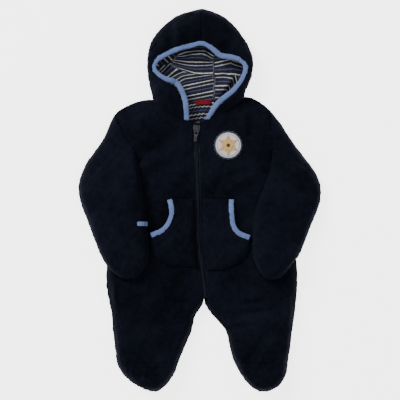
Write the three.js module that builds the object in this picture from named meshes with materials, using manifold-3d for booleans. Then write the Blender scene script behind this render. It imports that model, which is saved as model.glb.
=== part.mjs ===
// A baby's hooded, footed romper in thick plush, lying flat on its back on a table, front up.
// Millimetres. +X is the wearer's left, +Y runs from the feet to the hood, +Z is up off the table.
// "right" and "left" in names are the wearer's. Every cloth piece is a closed wall of its own.

import * as THREE from 'three';
import Module from 'manifold-3d';
import { mergeVertices } from 'three/addons/utils/BufferGeometryUtils.js';

const wasm = await Module();
wasm.setup();

// ---- driving dimensions -------------------------------------------------------------------

const PLUSH = 3;              // wall of the plush cloth
const JERSEY = 1.5;           // wall of the striped lining
const LINING_GAP = 0.9;       // between the hood and its lining at the opening
const LINING_SLACK = 1.4;     // and how much more the lining hangs off further in, at the top
const RIB = 1.3;              // wall of the rib binding
const SEAM = 0.3;             // gap between two pieces at a seam
const SEAM_Z = 5;             // height of the side seams above the table
const ROLL = 14;              // how far the rounded edge of a stuffed-flat tube reaches in
const UNDER_ROLL = 6;         // the same on the underside
const SLEEVE_GAP = 1.4;       // a sleeve lies this far above the body it covers
const HOOD_SEAM_Z = 12;       // height of the hood's widest line
const HOOD_ROLL = 20;
const BINDING = { width: 8, depth: 4.9 };
const BACK_NECK_GAP = 0.4;
const COLLAR_LIFT = 0.7;      // the hood's neck edge above the collar line, in plan

// ---- small maths ----------------------------------------------------------------------------

const lerp = (a, b, t) => a + (b - a) * t;
const clamp01 = (t) => Math.min(1, Math.max(0, t));
const smooth = (t) => clamp01(t) ** 2 * (3 - 2 * clamp01(t));
const roundEdge = (t) => Math.sqrt(1 - (1 - clamp01(t)) ** 2);
const mix = (p, q, t) => p.map((value, k) => lerp(value, q[k], t));

// Turns rows of numbers into objects with the named columns.
const table = (columns, rows) => rows.map(
  (row) => Object.fromEntries(columns.map((name, k) => [name, row[k]])),
);

// A column's value at height y. The rows run from the hood to the feet, so y falls.
function at(rows, column, y) {
  const next = rows.findIndex((row) => row.y <= y);
  if (next === 0) return rows[0][column];
  if (next === -1) return rows[rows.length - 1][column];
  const [above, below] = [rows[next - 1], rows[next]];
  return lerp(above[column], below[column], (above.y - y) / (above.y - below.y));
}

// A row between two rows of a table, at a fractional row number.
function station(rows, number) {
  const first = Math.min(Math.floor(number), rows.length - 2);
  const entries = Object.keys(rows[0]).map(
    (name) => [name, lerp(rows[first][name], rows[first + 1][name], number - first)],
  );
  return Object.fromEntries(entries);
}

// ---- the cut: outlines of the laid-out garment ----------------------------------------------

// Body and legs, from the underarms to the toes.
const BODY = table(['y', 'rightSide', 'rightInner', 'leftInner', 'leftSide'], [
  [57, -136, -3, -3, 139],
  [0, -143, -3, -3, 150],
  [-60, -151, -3, -3, 158],
  [-108, -159, 0, 0, 166],
  [-140, -161, 4, 6, 167],
  [-178, -154, 5.5, 9, 163],
  [-195, -150, -9, 20, 161.5],
  [-222, -149, -14, 47, 157],
  [-249, -145, -26, 50, 154],
  [-277, -142, -37, 59, 150],
  [-290, -137, -41, 65, 149],
  [-303, -127, -48, 74, 145],
  [-315, -111, -57, 83, 138],
  [-323, -95, -66, 93, 127],
  [-327, -84, -72, 102, 116],
]);
const CROTCH_Y = -178;
const ANKLE_Y = -277;
const TOE_Y = -327;

// How high the body, the legs and the feet stand off the table.
const LOFT = table(['y', 'height'], [
  [165, 17], [136, 19], [-180, 19], [-250, 23], [-290, 29], [-327, 29],
]);

// The zip's centre line and half the width of the band it leaves between the fronts.
const ZIP = table(['y', 'x', 'half'], [
  [133.5, -6, 6.5], [93, -6, 6.5], [47, -5, 6], [0, -3, 5], [-69, -3, 4.6],
  [-93, -1, 4.5], [-116, 3, 4.5], [-140, 7, 4.5], [-176, 10, 4.3],
]);
const ZIP_END_Y = -176;

// Neck seam from the zip to the side of the neck, then the shoulder seam to the arm.
const COLLAR = {
  right: [[-12.5, 133.5], [-26.5, 135.2], [-47, 142], [-62, 152], [-80.5, 172.3],
    [-101, 170], [-124, 161.5], [-141, 151], [-148, 145]],
  left: [[0.5, 133.5], [16, 136.6], [34, 142.5], [53, 152.5], [76, 177],
    [89, 174.5], [104, 166.5], [115, 157], [120, 152]],
};
const NECK_POINTS = 5;        // of each collar line, up to the side of the neck
const BACK_NECK = [1, 165.6]; // middle of the back neck seam

// Where the front's armhole seam ends on top, and where it meets the side seam under the arm.
const ARMHOLE = {
  right: { low: [-112, 84], underarm: [-136, 57], backLow: [-137.5, 64] },
  left: { low: [124, 80], underarm: [139, 57], backLow: [140.4, 64] },
};

// A sleeve from the armhole seam to the mitt's tip: the fold that lies on the body (in), the
// outer fold (out), the heights of both folds and how far the top crowns between them.
const SLEEVE_COLUMNS = ['xIn', 'yIn', 'xOut', 'yOut', 'zIn', 'zOut', 'crown'];
const SLEEVE = {
  right: table(SLEEVE_COLUMNS, [
    [-112.5, 83.7, -148.4, 144.5, 18.5, 5, 2],
    [-109, 74, -160, 111, 20, 5, 4],
    [-106.5, 60, -176, 87.5, 22, 5, 7],
    [-104, 45, -194, 63, 24, 5, 9],
    [-100, 22, -206, 38, 25, 5, 11],
    [-97, 2, -208.5, 14, 25, 5, 11],
    [-93, -20, -202, -10, 25, 5, 11],
    [-91, -40, -191, -38, 25, 5, 11],
    [-89, -60, -183, -60, 25, 5.5, 11],
    [-87.5, -80, -175, -80, 25, 8, 11],
    [-87, -95, -168, -96, 25, 12, 11],
    [-89, -108, -161, -107, 25, 19.5, 10],
    [-97, -119, -153, -117, 25, 24, 9],
    [-106, -128, -142, -127, 25, 25, 7],
    [-113, -133, -131, -133.5, 25, 25, 4],
  ]),
  left: table(SLEEVE_COLUMNS, [
    [124.5, 79.7, 120.6, 151.6, 18.5, 5, 2],
    [123, 72, 137, 131.5, 20, 5, 4],
    [121.5, 60, 154, 104.5, 22, 5, 7],
    [118, 45, 175, 75.5, 24, 5, 9],
    [110, 24, 201, 45, 25, 5, 11],
    [102, 4, 208.5, 15, 25, 5, 11],
    [94, -16, 203, -12, 25, 5, 11],
    [90.5, -40, 190.5, -40, 25, 5, 11],
    [89.5, -60, 183, -60, 25, 5.5, 11],
    [89.5, -80, 175.5, -80, 25, 8, 11],
    [91, -98, 168, -95, 25, 18, 11],
    [96, -112, 160, -104, 25, 21.5, 10],
    [103, -123, 151, -116, 25, 24, 9],
    [110, -131, 141, -128, 25, 25, 7],
    [117, -136, 131, -134.5, 25, 25, 4],
  ]),
};

// The under sleeve starts at the back's armhole and then crosses over the body's side.
const UNDER_START_COLUMNS = ['xIn', 'yIn', 'xOut', 'yOut', 'zIn', 'zOut'];
const UNDER_START = {
  right: table(UNDER_START_COLUMNS, [
    [-146.9, 127, -153.4, 130.5, 2, 5],
    [-144.6, 110, -160, 111, 0, 5],
    [-141.8, 85, -176, 87.5, 0, 5],
    [-140, 66, -186, 74, 10, 5],
    [-131, 57, -189, 70, 22, 5],
    [-118, 50.5, -192, 66.5, 23, 5],
  ]),
  left: table(UNDER_START_COLUMNS, [
    [126.8, 131, 132, 137.8, 2, 5],
    [130, 115, 140, 126.8, 0, 5],
    [135.6, 92, 154, 104.5, 0, 5],
    [142.5, 66, 166, 87, 10, 5],
    [134, 57, 169, 83, 22, 5],
    [125, 50.5, 172, 79, 23, 5],
  ]),
};
const UNDER_FIRST = 3;        // row of the sleeve table where the under sleeve is full width
const SLIT = { above: 6.8, below: 7.24, middle: 7.02 };  // the hand slit, in sleeve rows
const MITT_TIP = 14;

// The hood, ray by ray round its opening from the right side of the neck to the left: the
// middle of the binding (c), the widest line (s) and the seam down the middle of its back (b).
const HOOD = table(['xc', 'yc', 'xs', 'ys', 'xb', 'yb', 'crest'], [
  [-23, 135.8, -80.5, 173.2, 1, 166.2, 20],
  [-25, 168, -84, 185, 2, 172, 27],
  [-38, 197, -88, 200, 3, 180, 27.5],
  [-62, 207, -89.5, 214, 4, 190, 28],
  [-77, 220, -90, 228, 5, 202, 29],
  [-76, 235, -89.5, 247, 7, 216, 30],
  [-60, 247, -85, 271, 9, 232, 32],
  [-38, 257, -67, 295, 11, 250, 33],
  [-17, 262.5, -38, 319, 13, 270, 33],
  [3, 266.5, 3, 327, 15, 295, 33],
  [18, 260, 37, 319, 14.6, 270, 33],
  [35, 246, 60, 297, 11.4, 250, 32],
  [55, 243, 78, 273, 9.4, 232, 31],
  [71, 237, 88, 252, 7.4, 216, 30],
  [78, 224, 91.5, 232, 5.4, 202, 29],
  [73, 207, 88.5, 213, 4.4, 190, 29],
  [57, 186, 82, 196, 3.4, 180, 28],
  [30, 164, 77.5, 186, 2.4, 172, 27],
  [12, 137.2, 76, 178, 1.4, 166.2, 20],
]);
const HOOD_TOP_RAY = 9;
const LIP_Z = 24;
const RAY_TOP = [0, 0.22, 0.5, 0.76, 0.92, 1];            // points from the lip to the widest line
const RAY_UNDER = [0.09, 0.4, 1];                        // and on to the back seam

// Patch pockets: the bound mouth is the outer edge above the corner row, the side edge below.
const POCKET_COLUMNS = ['y', 'in', 'out'];
const POCKET = {
  right: table(POCKET_COLUMNS, [
    [1, -11, -51.5], [-12, -11, -48.5], [-25, -11, -48], [-36, -11, -51.5], [-45, -11, -57],
    [-53, -11, -66], [-60, -10.5, -83], [-75, -10, -84], [-92, -8.5, -79], [-105, -7, -66],
    [-113, -6, -48],
  ]),
  left: table(POCKET_COLUMNS, [
    [1, 5, 53], [-12, 5, 53], [-25, 5, 53.5], [-37, 5, 55], [-47, 5, 58],
    [-57, 5.5, 67], [-64, 5.5, 84], [-77, 6, 86], [-94, 8, 79], [-108, 10.5, 63],
    [-118, 12, 38],
  ]),
};
const POCKET_RISE = 5.4;      // clear height for a hand between the pocket and the front
const MOUTH_ROWS = 7;
const POCKET_RIB = 7.6;
const POCKET_RIB_HIGH = 3.8;
const POCKET_ROLL = 10;
const POCKET_ACROSS = [0, 0.1, 0.25, 0.5, 0.75, 0.9, 1];
const SLIT_RIB = 7.4;

const BADGE = { x: 48, y: 93, radius: 25, thick: 1.2 };
const LABEL = { x: 6, y: 166.5, width: 28, depth: 8, thick: 0.8 };

const SLIDER = { x: -6, y: 121.5, length: 13, top: 12, bottom: 8.5, plate: 1.8, turn: -0.05 };
const PULL = { x: -6.2, y: 117.6, length: 18, wide: 7, narrow: 4.8, thick: 1.2, turn: -0.12 };
const STOP = { x: -3.2, y: 132.2, width: 6, depth: 2.6, thick: 1.4 };

// ---- colours ---------------------------------------------------------------------------------

const finish = (color, roughness, metalness = 0) => () => (
  new THREE.MeshStandardMaterial({ color, roughness, metalness })
);
const plushNavy = finish(0x11151f, 0.95);
const liningStripe = finish(0x3b4360, 0.9);
const ribBlue = finish(0x6680ae, 0.9);
const tapeNavy = finish(0x1a1e2a, 0.85);
const gunMetal = finish(0x55565f, 0.35, 1);
const labelRed = finish(0x9a1f2c, 0.7);
const patchWhite = finish(0xd9d3c4, 0.85);

const romper = new THREE.Group();

function addPiece(name, geometry, material) {
  const mesh = new THREE.Mesh(geometry, material());
  mesh.name = name;
  romper.add(mesh);
  return mesh;
}

// ---- closed walls ----------------------------------------------------------------------------

function signedVolume(positions, index) {
  const corner = (k) => new THREE.Vector3().fromArray(positions, 3 * index[k]);
  let volume = 0;
  for (let k = 0; k < index.length; k += 3) {
    volume += corner(k).dot(corner(k + 1).cross(corner(k + 2))) / 6;
  }
  return volume;
}

function closedGeometry(positions, index) {
  if (signedVolume(positions, index) < 0) index.reverse();
  const geometry = new THREE.BufferGeometry();
  geometry.setAttribute('position', new THREE.Float32BufferAttribute(positions, 3));
  geometry.setIndex(index);
  return geometry;
}

// One closed body between two grids of points that match row by row.
function wall(outer, inner) {
  const [rows, columns] = [outer.length, outer[0].length];
  const positions = [...outer, ...inner].flat(2);
  const id = (side, i, j) => side * rows * columns + i * columns + j;
  const index = [];
  const quad = (a, b, c, d) => index.push(a, b, c, a, c, d);
  for (let i = 0; i < rows - 1; i += 1) {
    for (let j = 0; j < columns - 1; j += 1) {
      quad(id(0, i, j), id(0, i, j + 1), id(0, i + 1, j + 1), id(0, i + 1, j));
      quad(id(1, i, j), id(1, i + 1, j), id(1, i + 1, j + 1), id(1, i, j + 1));
    }
    quad(id(0, i, 0), id(0, i + 1, 0), id(1, i + 1, 0), id(1, i, 0));
    const last = columns - 1;
    quad(id(0, i, last), id(1, i, last), id(1, i + 1, last), id(0, i + 1, last));
  }
  for (let j = 0; j < columns - 1; j += 1) {
    quad(id(0, 0, j), id(1, 0, j), id(1, 0, j + 1), id(0, 0, j + 1));
    const last = rows - 1;
    quad(id(0, last, j), id(0, last, j + 1), id(1, last, j + 1), id(1, last, j));
  }
  return closedGeometry(positions, index);
}

// A closed strip whose cross-sections are the given rings of points.
function strip(rings) {
  const size = rings[0].length;
  const positions = rings.flat(2);
  const index = [];
  for (let i = 0; i < rings.length - 1; i += 1) {
    for (let k = 0; k < size; k += 1) {
      const [a, b] = [i * size + k, i * size + ((k + 1) % size)];
      index.push(a, b, b + size, a, b + size, a + size);
    }
  }
  const end = (rings.length - 1) * size;
  for (let k = 1; k < size - 1; k += 1) {
    index.push(0, k + 1, k, end, end + k, end + k + 1);
  }
  return closedGeometry(positions, index);
}

// ---- how high the laid-out cloth stands -----------------------------------------------------

const pointsOf = (rows, column) => rows.map((row) => [row[column], row.y]);
const sleeveOut = (side) => SLEEVE[side].slice(1, 5).map((row) => [row.xOut, row.yOut]);
const legRows = BODY.filter((row) => row.y <= CROTCH_Y);

// Closed edges of the body, walked anticlockwise, so the cloth is on the left of each line.
const BODY_EDGES = [
  [...COLLAR.right.slice(NECK_POINTS - 1), ...sleeveOut('right')],
  [...pointsOf(BODY, 'rightSide'), ...pointsOf(legRows, 'rightInner').reverse(),
    ...pointsOf(legRows, 'leftInner'), ...pointsOf(BODY, 'leftSide').reverse()],
  [...sleeveOut('left').reverse(), ...COLLAR.left.slice(NECK_POINTS - 1).reverse()],
];

// Between the underarm and the ankle seam a wall's faces are set apart straight across.
const straightAcross = (y) => y > ANKLE_Y - 1 && y < BODY[0].y;

// Distance from a point to the nearest edge and the direction that leads away from it, inwards.
function fromEdge(edges, x, y) {
  let best = { distance: Infinity };
  for (const line of edges) {
    for (let k = 0; k < line.length - 1; k += 1) {
      const [[ax, ay], [bx, by]] = [line[k], line[k + 1]];
      const [dx, dy] = [bx - ax, by - ay];
      const along = clamp01(((x - ax) * dx + (y - ay) * dy) / (dx * dx + dy * dy));
      const [px, py] = [x - ax - along * dx, y - ay - along * dy];
      const distance = Math.hypot(px, py);
      const length = Math.hypot(dx, dy);
      if (distance < best.distance) {
        const away = distance > 1 ? [px / distance, py / distance] : [-dy / length, dx / length];
        best = { distance, inward: straightAcross(y) ? [Math.sign(away[0]), 0] : away };
      }
    }
  }
  return best;
}

const bodyHeight = (x, y) => (
  SEAM_Z + (at(LOFT, 'height', y) - SEAM_Z) * roundEdge(fromEdge(BODY_EDGES, x, y).distance / ROLL)
);

// Both faces of the top wall of the body at a point.
function topOfBody([x, y]) {
  const { distance, inward } = fromEdge(BODY_EDGES, x, y);
  const shift = PLUSH * (1 - clamp01(distance / ROLL));
  const height = at(LOFT, 'height', y);
  const rise = roundEdge(distance / ROLL);
  const low = SEAM_Z + SEAM / 2;
  return {
    outer: [x, y, low + (height - low) * rise],
    inner: [x + inward[0] * shift, y + inward[1] * shift, low + (height - PLUSH - low) * rise],
  };
}

// Both faces of the wall that lies on the table.
function underBody([x, y]) {
  const { distance, inward } = fromEdge(BODY_EDGES, x, y);
  const fade = clamp01(distance / UNDER_ROLL);
  const high = SEAM_Z - SEAM / 2;
  const fall = roundEdge(fade);
  const shift = PLUSH * (1 - fade);
  return {
    outer: [x, y, high * (1 - fall)],
    inner: [x + inward[0] * shift, y + inward[1] * shift, high + (PLUSH - high) * fall],
  };
}

function wallFrom(plan, faces) {
  const both = plan.map((row) => row.map(faces));
  return wall(both.map((row) => row.map((p) => p.outer)), both.map((row) => row.map((p) => p.inner)));
}

// ---- fronts, backs and feet -------------------------------------------------------------------

const ACROSS = [0, 0.06, 0.18, 0.34, 0.5, 0.66, 0.82, 0.94, 1];
const BODY_LEVELS = [57, 20, -20, -60, -100, -140, -167, -178, -195, -208, -222, -249];
const FOOT_LEVELS = [-290, -303, -315, -321, TOE_Y];
const SHOULDER_REACH = 80;    // how far down the panel the collar's shape is still felt

const sign = (side) => (side === 'right' ? -1 : 1);

const innerLeg = (side, y) => at(BODY, side === 'right' ? 'rightInner' : 'leftInner', y);
const bodySide = (side, y) => at(BODY, side === 'right' ? 'rightSide' : 'leftSide', y);

// The outer edge of a front or a back above the side seam is its armhole.
function outerEdge(side, y, points) {
  const line = points.find((pair) => y >= pair[1][1]);
  if (!line) return bodySide(side, y);
  const [[x0, y0], [x1, y1]] = line;
  return lerp(x0, x1, (y0 - y) / (y0 - y1));
}

function panelPlan(side, top, innerEdge, armhole, lastLevel) {
  const rung = (y) => {
    const ends = [[innerEdge(y), y], [outerEdge(side, y, armhole), y]];
    return ACROSS.map((u) => mix(...ends, u));
  };
  const plain = ACROSS.map((u) => mix(top[0], top[top.length - 1], u));
  const levels = [118, 98, ARMHOLE[side].low[1], ...BODY_LEVELS, lastLevel];
  const rows = levels.map((y) => {
    const felt = (1 - clamp01((top[0][1] - y) / SHOULDER_REACH)) ** 2;
    return rung(y).map(([x, level], j) => [
      x + felt * (top[j][0] - plain[j][0]) * 0.3,
      level + felt * (top[j][1] - plain[j][1]),
    ]);
  });
  return [top, ...rows];
}

function front(side) {
  const tip = COLLAR[side][COLLAR[side].length - 1];
  const { low, underarm } = ARMHOLE[side];
  const innerEdge = (y) => (y >= ZIP_END_Y
    ? at(ZIP, 'x', y) + sign(side) * at(ZIP, 'half', y)
    : innerLeg(side, y));
  const plan = panelPlan(side, COLLAR[side], innerEdge, [[tip, low], [low, underarm]],
    ANKLE_Y + SEAM / 2);
  addPiece(`front_${side}`, wallFrom(plan, topOfBody), plushNavy);
}

const backSeam = (side, y) => (
  lerp(BACK_NECK[0], 7, (BACK_NECK[1] - y) / (BACK_NECK[1] - CROTCH_Y)) + sign(side) * SEAM / 2
);

function back(side) {
  const shoulder = COLLAR[side].slice(NECK_POINTS - 1);
  const neckSide = [shoulder[0][0], shoulder[0][1] - BACK_NECK_GAP];
  const neckMiddle = [BACK_NECK[0] + sign(side) * SEAM / 2, BACK_NECK[1]];
  const neck = [0, 0.12, 0.36, 0.68].map((t) => mix(neckMiddle, neckSide, t));
  const tip = shoulder[shoulder.length - 1];
  const { underarm, backLow } = ARMHOLE[side];
  const innerEdge = (y) => (y > CROTCH_Y ? backSeam(side, y) : innerLeg(side, y));
  const plan = panelPlan(side, [...neck, neckSide, ...shoulder.slice(1)], innerEdge,
    [[tip, backLow], [backLow, underarm]], ANKLE_Y + SEAM / 2);
  addPiece(`back_${side}`, wallFrom(plan, underBody), plushNavy);
}

function foot(side) {
  const levels = [ANKLE_Y - SEAM / 2, ...FOOT_LEVELS];
  const plan = levels.map((y) => (
    ACROSS.map((u) => [lerp(innerLeg(side, y), bodySide(side, y), u), y])
  ));
  addPiece(`foot_upper_${side}`, wallFrom(plan, topOfBody), plushNavy);
  addPiece(`sole_${side}`, wallFrom(plan, underBody), plushNavy);
}

// ---- sleeves ------------------------------------------------------------------------------------

const SLEEVE_ACROSS = [0, 0.045, 0.12, 0.3, 0.5, 0.7, 0.85, 0.95, 1];
const SLEEVE_ROLL = 12;
const FOLD_LIFT = 3.6;        // the sleeve starts to fold over the front at the armhole's low end
const COVER = { outside: 22, width: 28, fadeFrom: 60, fadeTo: 76 };

const sleeveEdges = (side) => {
  const inner = SLEEVE[side].map((row) => [row.xIn, row.yIn]);
  const outer = SLEEVE[side].map((row) => [row.xOut, row.yOut]);
  return side === 'right'
    ? [[...outer, ...inner.slice(1).reverse()]]
    : [[...inner.slice(1), ...outer.reverse()]];
};

// What a sleeve rests on: the body where it covers it, falling to the table beside it.
function cover(side, x, y) {
  const inside = -sign(side) * (x - bodySide(side, y));
  const height = Math.max(19, at(LOFT, 'height', y)) + SLEEVE_GAP;
  const fade = 1 - smooth((y - COVER.fadeFrom) / (COVER.fadeTo - COVER.fadeFrom));
  return height * smooth((inside + COVER.outside) / COVER.width) * fade;
}

const rungPoint = (rung, u) => mix([rung.xIn, rung.yIn], [rung.xOut, rung.yOut], u);

function upperSleevePoint(side, rung, u, isSeam) {
  const [x, y] = rungPoint(rung, u);
  const { distance, inward } = fromEdge(sleeveEdges(side), x, y);
  const fade = clamp01(distance / SLEEVE_ROLL);
  const shift = isSeam ? 0 : PLUSH * (1 - fade);
  const low = lerp(rung.zIn, rung.zOut, u) + SEAM / 2;
  const rise = (5 + rung.crown) * roundEdge(fade);
  const overFront = FOLD_LIFT * (1 - clamp01(u / 0.13));
  const outerZ = isSeam ? topOfBody([x, y]).outer[2] + overFront : low + rise;
  const innerZ = isSeam ? outerZ - PLUSH : low + rise - PLUSH * roundEdge(fade);
  return {
    outer: [x, y, outerZ],
    inner: [x + inward[0] * shift, y + inward[1] * shift, innerZ],
  };
}

function upperSleeve(side) {
  const rungs = SLEEVE[side];
  const both = rungs.map((rung, i) => (
    SLEEVE_ACROSS.map((u) => upperSleevePoint(side, rung, u, i === 0))
  ));
  const [outer, inner] = ['outer', 'inner'].map((face) => both.map((row) => row.map((p) => p[face])));
  addPiece(`sleeve_upper_${side}`, wall(outer, inner), plushNavy);
}

// The under wall hangs from both folds and rests on what is below it.
function underSleevePoint(side, rung, u) {
  const [x, y] = rungPoint(rung, u);
  const { distance, inward } = fromEdge(sleeveEdges(side), x, y);
  const fade = clamp01(distance / UNDER_ROLL);
  const fall = roundEdge(fade);
  const high = lerp(rung.zIn, rung.zOut, u) - SEAM / 2;
  const rest = cover(side, x, y);
  const openEdge = y > COVER.fadeFrom ? clamp01(2 * u) : 1;
  const shift = PLUSH * (1 - fade) * openEdge;
  return {
    outer: [x, y, lerp(Math.max(high, rest), rest, fall)],
    inner: [x + inward[0] * shift, y + inward[1] * shift,
      lerp(Math.max(high, rest), rest + PLUSH, fall)],
  };
}

function underSheet(name, side, rungs) {
  const both = rungs.map((rung) => SLEEVE_ACROSS.map((u) => underSleevePoint(side, rung, u)));
  const [outer, inner] = ['outer', 'inner'].map((face) => both.map((row) => row.map((p) => p[face])));
  addPiece(name, wall(outer, inner), plushNavy);
}

function underSleeve(side) {
  const rows = SLEEVE[side];
  const numbers = [UNDER_FIRST, 4, 5, 6, SLIT.above];
  underSheet(`sleeve_under_${side}`, side,
    [...UNDER_START[side], ...numbers.map((number) => station(rows, number))]);
  const palm = [SLIT.below, 8, 9, 10, 11, 12, 13, MITT_TIP];
  underSheet(`mitt_palm_${side}`, side, palm.map((number) => station(rows, number)));
}

// ---- hood ---------------------------------------------------------------------------------------

const vec = (point) => new THREE.Vector3(...point);

// Unit direction away from the opening, in plan, at a ray of the hood.
function awayFromOpening(i) {
  if (i === 0) return [-1, 0];
  if (i === HOOD.length - 1) return [1, 0];
  const [dx, dy] = [HOOD[i + 1].xc - HOOD[i - 1].xc, HOOD[i + 1].yc - HOOD[i - 1].yc];
  const length = Math.hypot(dx, dy);
  return [-dy / length, dx / length];
}

const isNeckRay = (i) => i === 0 || i === HOOD.length - 1;

// The hood's neck edge runs just above the collar line of the front.
function collarY(side, x) {
  const line = COLLAR[side].slice(0, NECK_POINTS);
  const k = Math.max(1, line.findIndex((point) => Math.abs(point[0]) >= Math.abs(x)));
  const [[x0, y0], [x1, y1]] = [line[k - 1], line[k]];
  return lerp(y0, y1, (x - x0) / (x1 - x0));
}

const lipHeight = (i, [x, y]) => (isNeckRay(i) ? topOfBody([x, y]).outer[2] : LIP_Z);

function hoodRay(ray, i) {
  const side = i <= HOOD_TOP_RAY ? 'right' : 'left';
  const away = awayFromOpening(i);
  const reach = BINDING.width / 2 + 2 * SEAM;
  const lip = [ray.xc + away[0] * reach, ray.yc + away[1] * reach];
  const widest = [ray.xs, ray.ys];
  const length = Math.hypot(widest[0] - lip[0], widest[1] - lip[1]);
  const seamZ = HOOD_SEAM_Z;
  const top = RAY_TOP.map((t) => {
    const [x, y] = mix(lip, widest, t);
    if (isNeckRay(i)) {
      const neckY = collarY(side, x) + COLLAR_LIFT;
      return [x, neckY, Math.max(seamZ, topOfBody([x, neckY - COLLAR_LIFT]).outer[2])];
    }
    const height = lerp(LIP_Z, ray.crest, smooth((t * length) / 14));
    const edge = roundEdge(((1 - t) * length) / Math.min(HOOD_ROLL, length));
    return [x, y, seamZ + (height - seamZ) * edge];
  });
  const under = RAY_UNDER.map((t) => {
    const [x, y] = mix(widest, [ray.xb, ray.yb], t);
    const run = Math.hypot(x - widest[0], y - widest[1]);
    return [x, y, seamZ * (1 - roundEdge(run / 10))];
  });
  return [...top, ...under];
}

// Directions out of the hood's cloth, from the neighbours of each point of its grid.
function outwardNormals(grid) {
  const near = (list, k, step) => list[Math.min(list.length - 1, Math.max(0, k + step))];
  return grid.map((row, i) => row.map((_, j) => {
    const along = vec(near(grid, i, 1)[j]).sub(vec(near(grid, i, -1)[j]));
    const across = vec(near(row, j, 1)).sub(vec(near(row, j, -1)));
    const normal = along.cross(across);
    if (isNeckRay(i)) normal.y = 0;
    return normal.normalize();
  }));
}

const hoodGrid = HOOD.map(hoodRay);

// Evens out the directions, so that walls set apart along them stay apart at tight bends.
function evened(normals) {
  return normals.map((row, i) => row.map((normal, j) => {
    const sum = normal.clone().multiplyScalar(2);
    [[i - 1, j], [i + 1, j], [i, j - 1], [i, j + 1]].forEach(([a, b]) => {
      if (normals[a] && normals[a][b]) sum.add(normals[a][b]);
    });
    if (isNeckRay(i)) sum.y = 0;
    return sum.normalize();
  }));
}

const hoodNormals = evened(evened(outwardNormals(hoodGrid)));

const hoodSheet = (depth, slack, first, last, shift) => hoodGrid.slice(first, last + 1).map((row, i) => (
  row.map((point, j) => {
    const hangs = j > 0 && j < RAY_TOP.length ? slack : 0;
    const moved = vec(point).addScaledVector(hoodNormals[first + i][j], -depth - hangs);
    return [moved.x + shift, moved.y, moved.z];
  })
));

function hoodHalf(side) {
  const [first, last] = side === 'right' ? [0, HOOD_TOP_RAY] : [HOOD_TOP_RAY, HOOD.length - 1];
  const shift = sign(side) * SEAM * 0.8;
  const sheet = (depth, slack = 0) => hoodSheet(depth, slack, first, last, shift);
  addPiece(`hood_${side}`, wall(sheet(0), sheet(PLUSH)), plushNavy);
  const lining = PLUSH + LINING_GAP;
  addPiece(`hood_lining_${side}`, wall(sheet(lining, LINING_SLACK), sheet(lining + JERSEY, LINING_SLACK)),
    liningStripe);
}

function hoodBinding() {
  const rings = HOOD.map((ray, i) => {
    const away = awayFromOpening(i);
    const top = lipHeight(i, [ray.xc, ray.yc - 1]) + 0.3;
    const corner = (across, down) => [ray.xc + away[0] * across, ray.yc + away[1] * across, top - down];
    const half = BINDING.width / 2;
    return [
      corner(half, 1.3), corner(half - 1.5, 0), corner(1.5 - half, 0), corner(-half, 1.3),
      corner(-half, BINDING.depth - 1), corner(half, BINDING.depth),
    ];
  });
  addPiece('hood_binding', strip(rings), ribBlue);
}

function neckPieces() {
  const base = PLUSH + SEAM;
  const halfWidth = 38;
  const seamRise = 3;
  const plan = [[165, seamRise], [148, 1], [118, 0]].map(([y, rise]) => (
    [-1, -0.5, 0, 0.5, 1].map((t) => [1 + t * halfWidth, y + rise * Math.abs(t)])
  ));
  const lift = (z) => plan.map((row) => row.map(([x, y]) => [x, y, z]));
  addPiece('back_lining', wall(lift(base + JERSEY), lift(base)), liningStripe);
  const label = addPiece('neck_label', new THREE.BoxGeometry(LABEL.width, LABEL.depth, LABEL.thick),
    labelRed);
  label.position.set(LABEL.x, LABEL.y, PLUSH + LINING_GAP + JERSEY + SEAM + LABEL.thick / 2);
}

// ---- pockets, hand slits and badge --------------------------------------------------------------

// The bound mouth of a pocket, with the direction into the pocket at each point.
function mouthOf(side) {
  const line = POCKET[side].slice(0, MOUTH_ROWS).map((row) => [row.out, row.y]);
  return line.map((point, k) => {
    const [before, after] = [line[Math.max(0, k - 1)], line[Math.min(line.length - 1, k + 1)]];
    const [dx, dy] = [after[0] - before[0], after[1] - before[1]];
    const length = -sign(side) * Math.hypot(dx, dy);
    return { point, into: [-dy / length, dx / length] };
  });
}

function pocket(side) {
  const mouth = mouthOf(side);
  const rows = POCKET[side];
  const reach = POCKET_RIB / 2 + SEAM;
  const ends = rows.map((row, k) => (k < MOUTH_ROWS
    ? [0, 1].map((axis) => mouth[k].point[axis] + mouth[k].into[axis] * reach)
    : [row.out, row.y]));
  const plan = rows.map((row, k) => POCKET_ACROSS.map((u) => mix([row.in, row.y], ends[k], u)));
  const sewn = [[mouth[0].point, ...rows.map((row) => [row.in, row.y]),
    ...rows.slice(MOUTH_ROWS - 1).map((row) => [row.out, row.y]).reverse()]];
  const rise = ([x, y]) => POCKET_RISE * roundEdge(fromEdge(sewn, x, y).distance / POCKET_ROLL);
  const lift = (extra) => plan.map((row) => row.map(
    ([x, y]) => [x, y, bodyHeight(x, y) + SEAM + rise([x, y]) + extra],
  ));
  addPiece(`pocket_${side}`, wall(lift(PLUSH), lift(0)), plushNavy);

  const rings = mouth.map(({ point, into }, k) => {
    const bottom = bodyHeight(...point) + SEAM + rise(ends[k]);
    const corner = (across, z) => [point[0] + into[0] * across, point[1] + into[1] * across, bottom + z];
    const half = POCKET_RIB / 2;
    return [corner(half, 0), corner(-half, 0), corner(-half, 2.6), corner(1 - half, POCKET_RIB_HIGH),
      corner(half - 1, POCKET_RIB_HIGH), corner(half, 2.6)];
  });
  addPiece(`pocket_binding_${side}`, strip(rings), ribBlue);
}

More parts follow.
